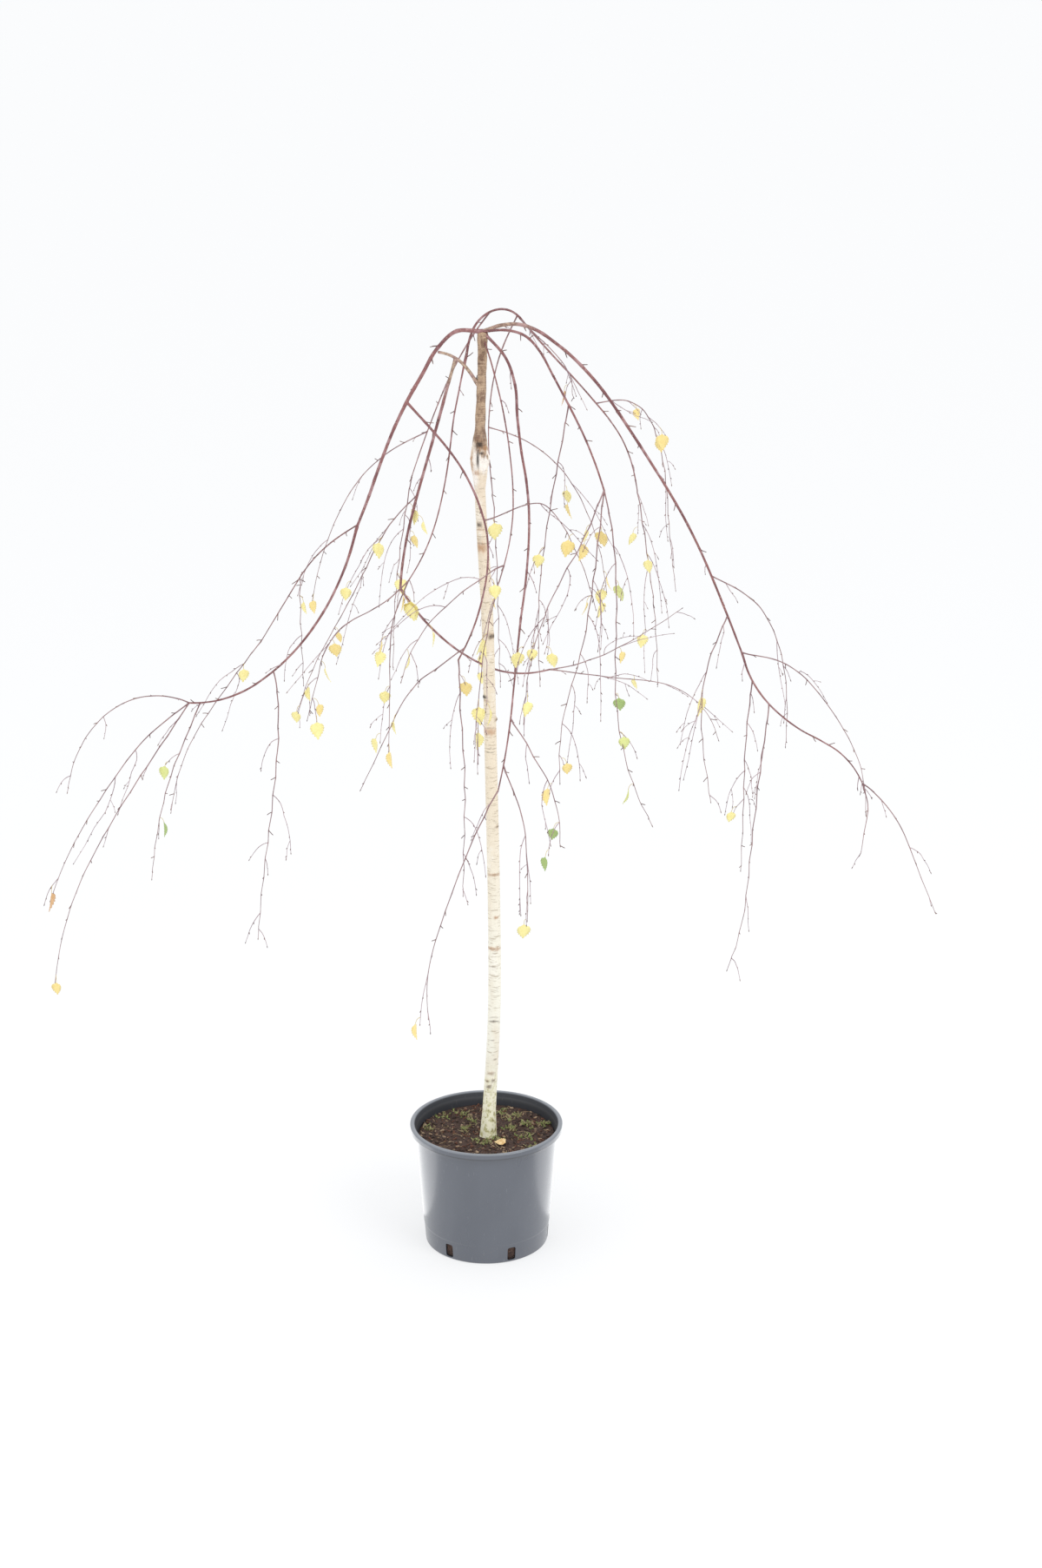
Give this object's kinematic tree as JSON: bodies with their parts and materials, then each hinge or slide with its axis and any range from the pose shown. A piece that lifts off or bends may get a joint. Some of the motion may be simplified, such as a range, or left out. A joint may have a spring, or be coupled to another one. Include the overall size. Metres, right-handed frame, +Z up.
{
  "type": "potted weeping birch tree",
  "caption": "Young grafted weeping birch, nearly bare in late autumn, with arching boughs and hanging twigs, in a round nursery pot.",
  "frame": {"origin": "centre of the pot's flat underside", "axes": "+Z up along the trunk, +Y towards the back of the tree, +X to the right seen from the front"},
  "size_m": [1.4717, 0.9218, 1.6242],
  "materials": {
    "pot_plastic": "satin blue-grey moulded plastic",
    "potting_soil": "dark bark compost with moss",
    "trunk_bark": "cream-white birch bark with dark lenticels and scars",
    "young_bark": "smooth glossy red-brown bark",
    "twigs_and_leaves": "thin dark twigs with a few yellow leaves"
  },
  "bodies": {
    "root": {"pot": "pot_plastic", "potting_soil": "potting_soil", "trunk": "trunk_bark", "spur_limb": "young_bark", "bough_left": "young_bark", "bough_left_lower": "young_bark", "branch_left_rear": "young_bark", "bough_front_left": "young_bark", "bough_rear_left": "young_bark", "bough_rear_crossing": "young_bark", "branch_left_inner": "young_bark", "branch_front_inner": "young_bark", "bough_front": "young_bark", "bough_front_lower": "young_bark", "bough_top": "young_bark", "bough_rear": "young_bark", "branch_rear_left": "young_bark", "branch_rear_middle": "young_bark", "bough_right": "young_bark", "bough_right_middle": "young_bark", "bough_right_lower": "young_bark", "bough_front_right": "young_bark", "mass_left_high": "twigs_and_leaves", "mass_left_tip": "twigs_and_leaves", "mass_left_low": "twigs_and_leaves", "mass_left_third": "twigs_and_leaves", "mass_left_hanging": "twigs_and_leaves", "mass_left_rear": "twigs_and_leaves", "mass_left_inner": "twigs_and_leaves", "mass_left_middle": "twigs_and_leaves", "mass_front_left_low": "twigs_and_leaves", "mass_front_left_side": "twigs_and_leaves", "mass_front_crossing": "twigs_and_leaves", "mass_rear_right_rising": "twigs_and_leaves", "mass_rear_right_level": "twigs_and_leaves", "mass_rear_left_hanging": "twigs_and_leaves", "mass_front_inner": "twigs_and_leaves", "mass_front_middle": "twigs_and_leaves", "mass_front_low": "twigs_and_leaves", "mass_front_low_right": "twigs_and_leaves", "mass_front_side_right": "twigs_and_leaves", "mass_top": "twigs_and_leaves", "mass_rear_low": "twigs_and_leaves", "mass_rear_outer": "twigs_and_leaves", "mass_rear_left": "twigs_and_leaves", "mass_rear_middle": "twigs_and_leaves", "mass_rear_left_outer": "twigs_and_leaves", "mass_rear_right_outer": "twigs_and_leaves", "mass_left_rear_high": "twigs_and_leaves", "mass_right_far": "twigs_and_leaves", "mass_right_tip": "twigs_and_leaves", "mass_right_upper": "twigs_and_leaves", "mass_right_outer": "twigs_and_leaves", "mass_right_inner": "twigs_and_leaves", "mass_right_hanging": "twigs_and_leaves", "mass_right_low": "twigs_and_leaves", "mass_front_right_outer": "twigs_and_leaves", "mass_front_right_inner": "twigs_and_leaves", "mass_front_right_middle": "twigs_and_leaves", "mass_front_right_near": "twigs_and_leaves"}
  },
  "joints": []
}
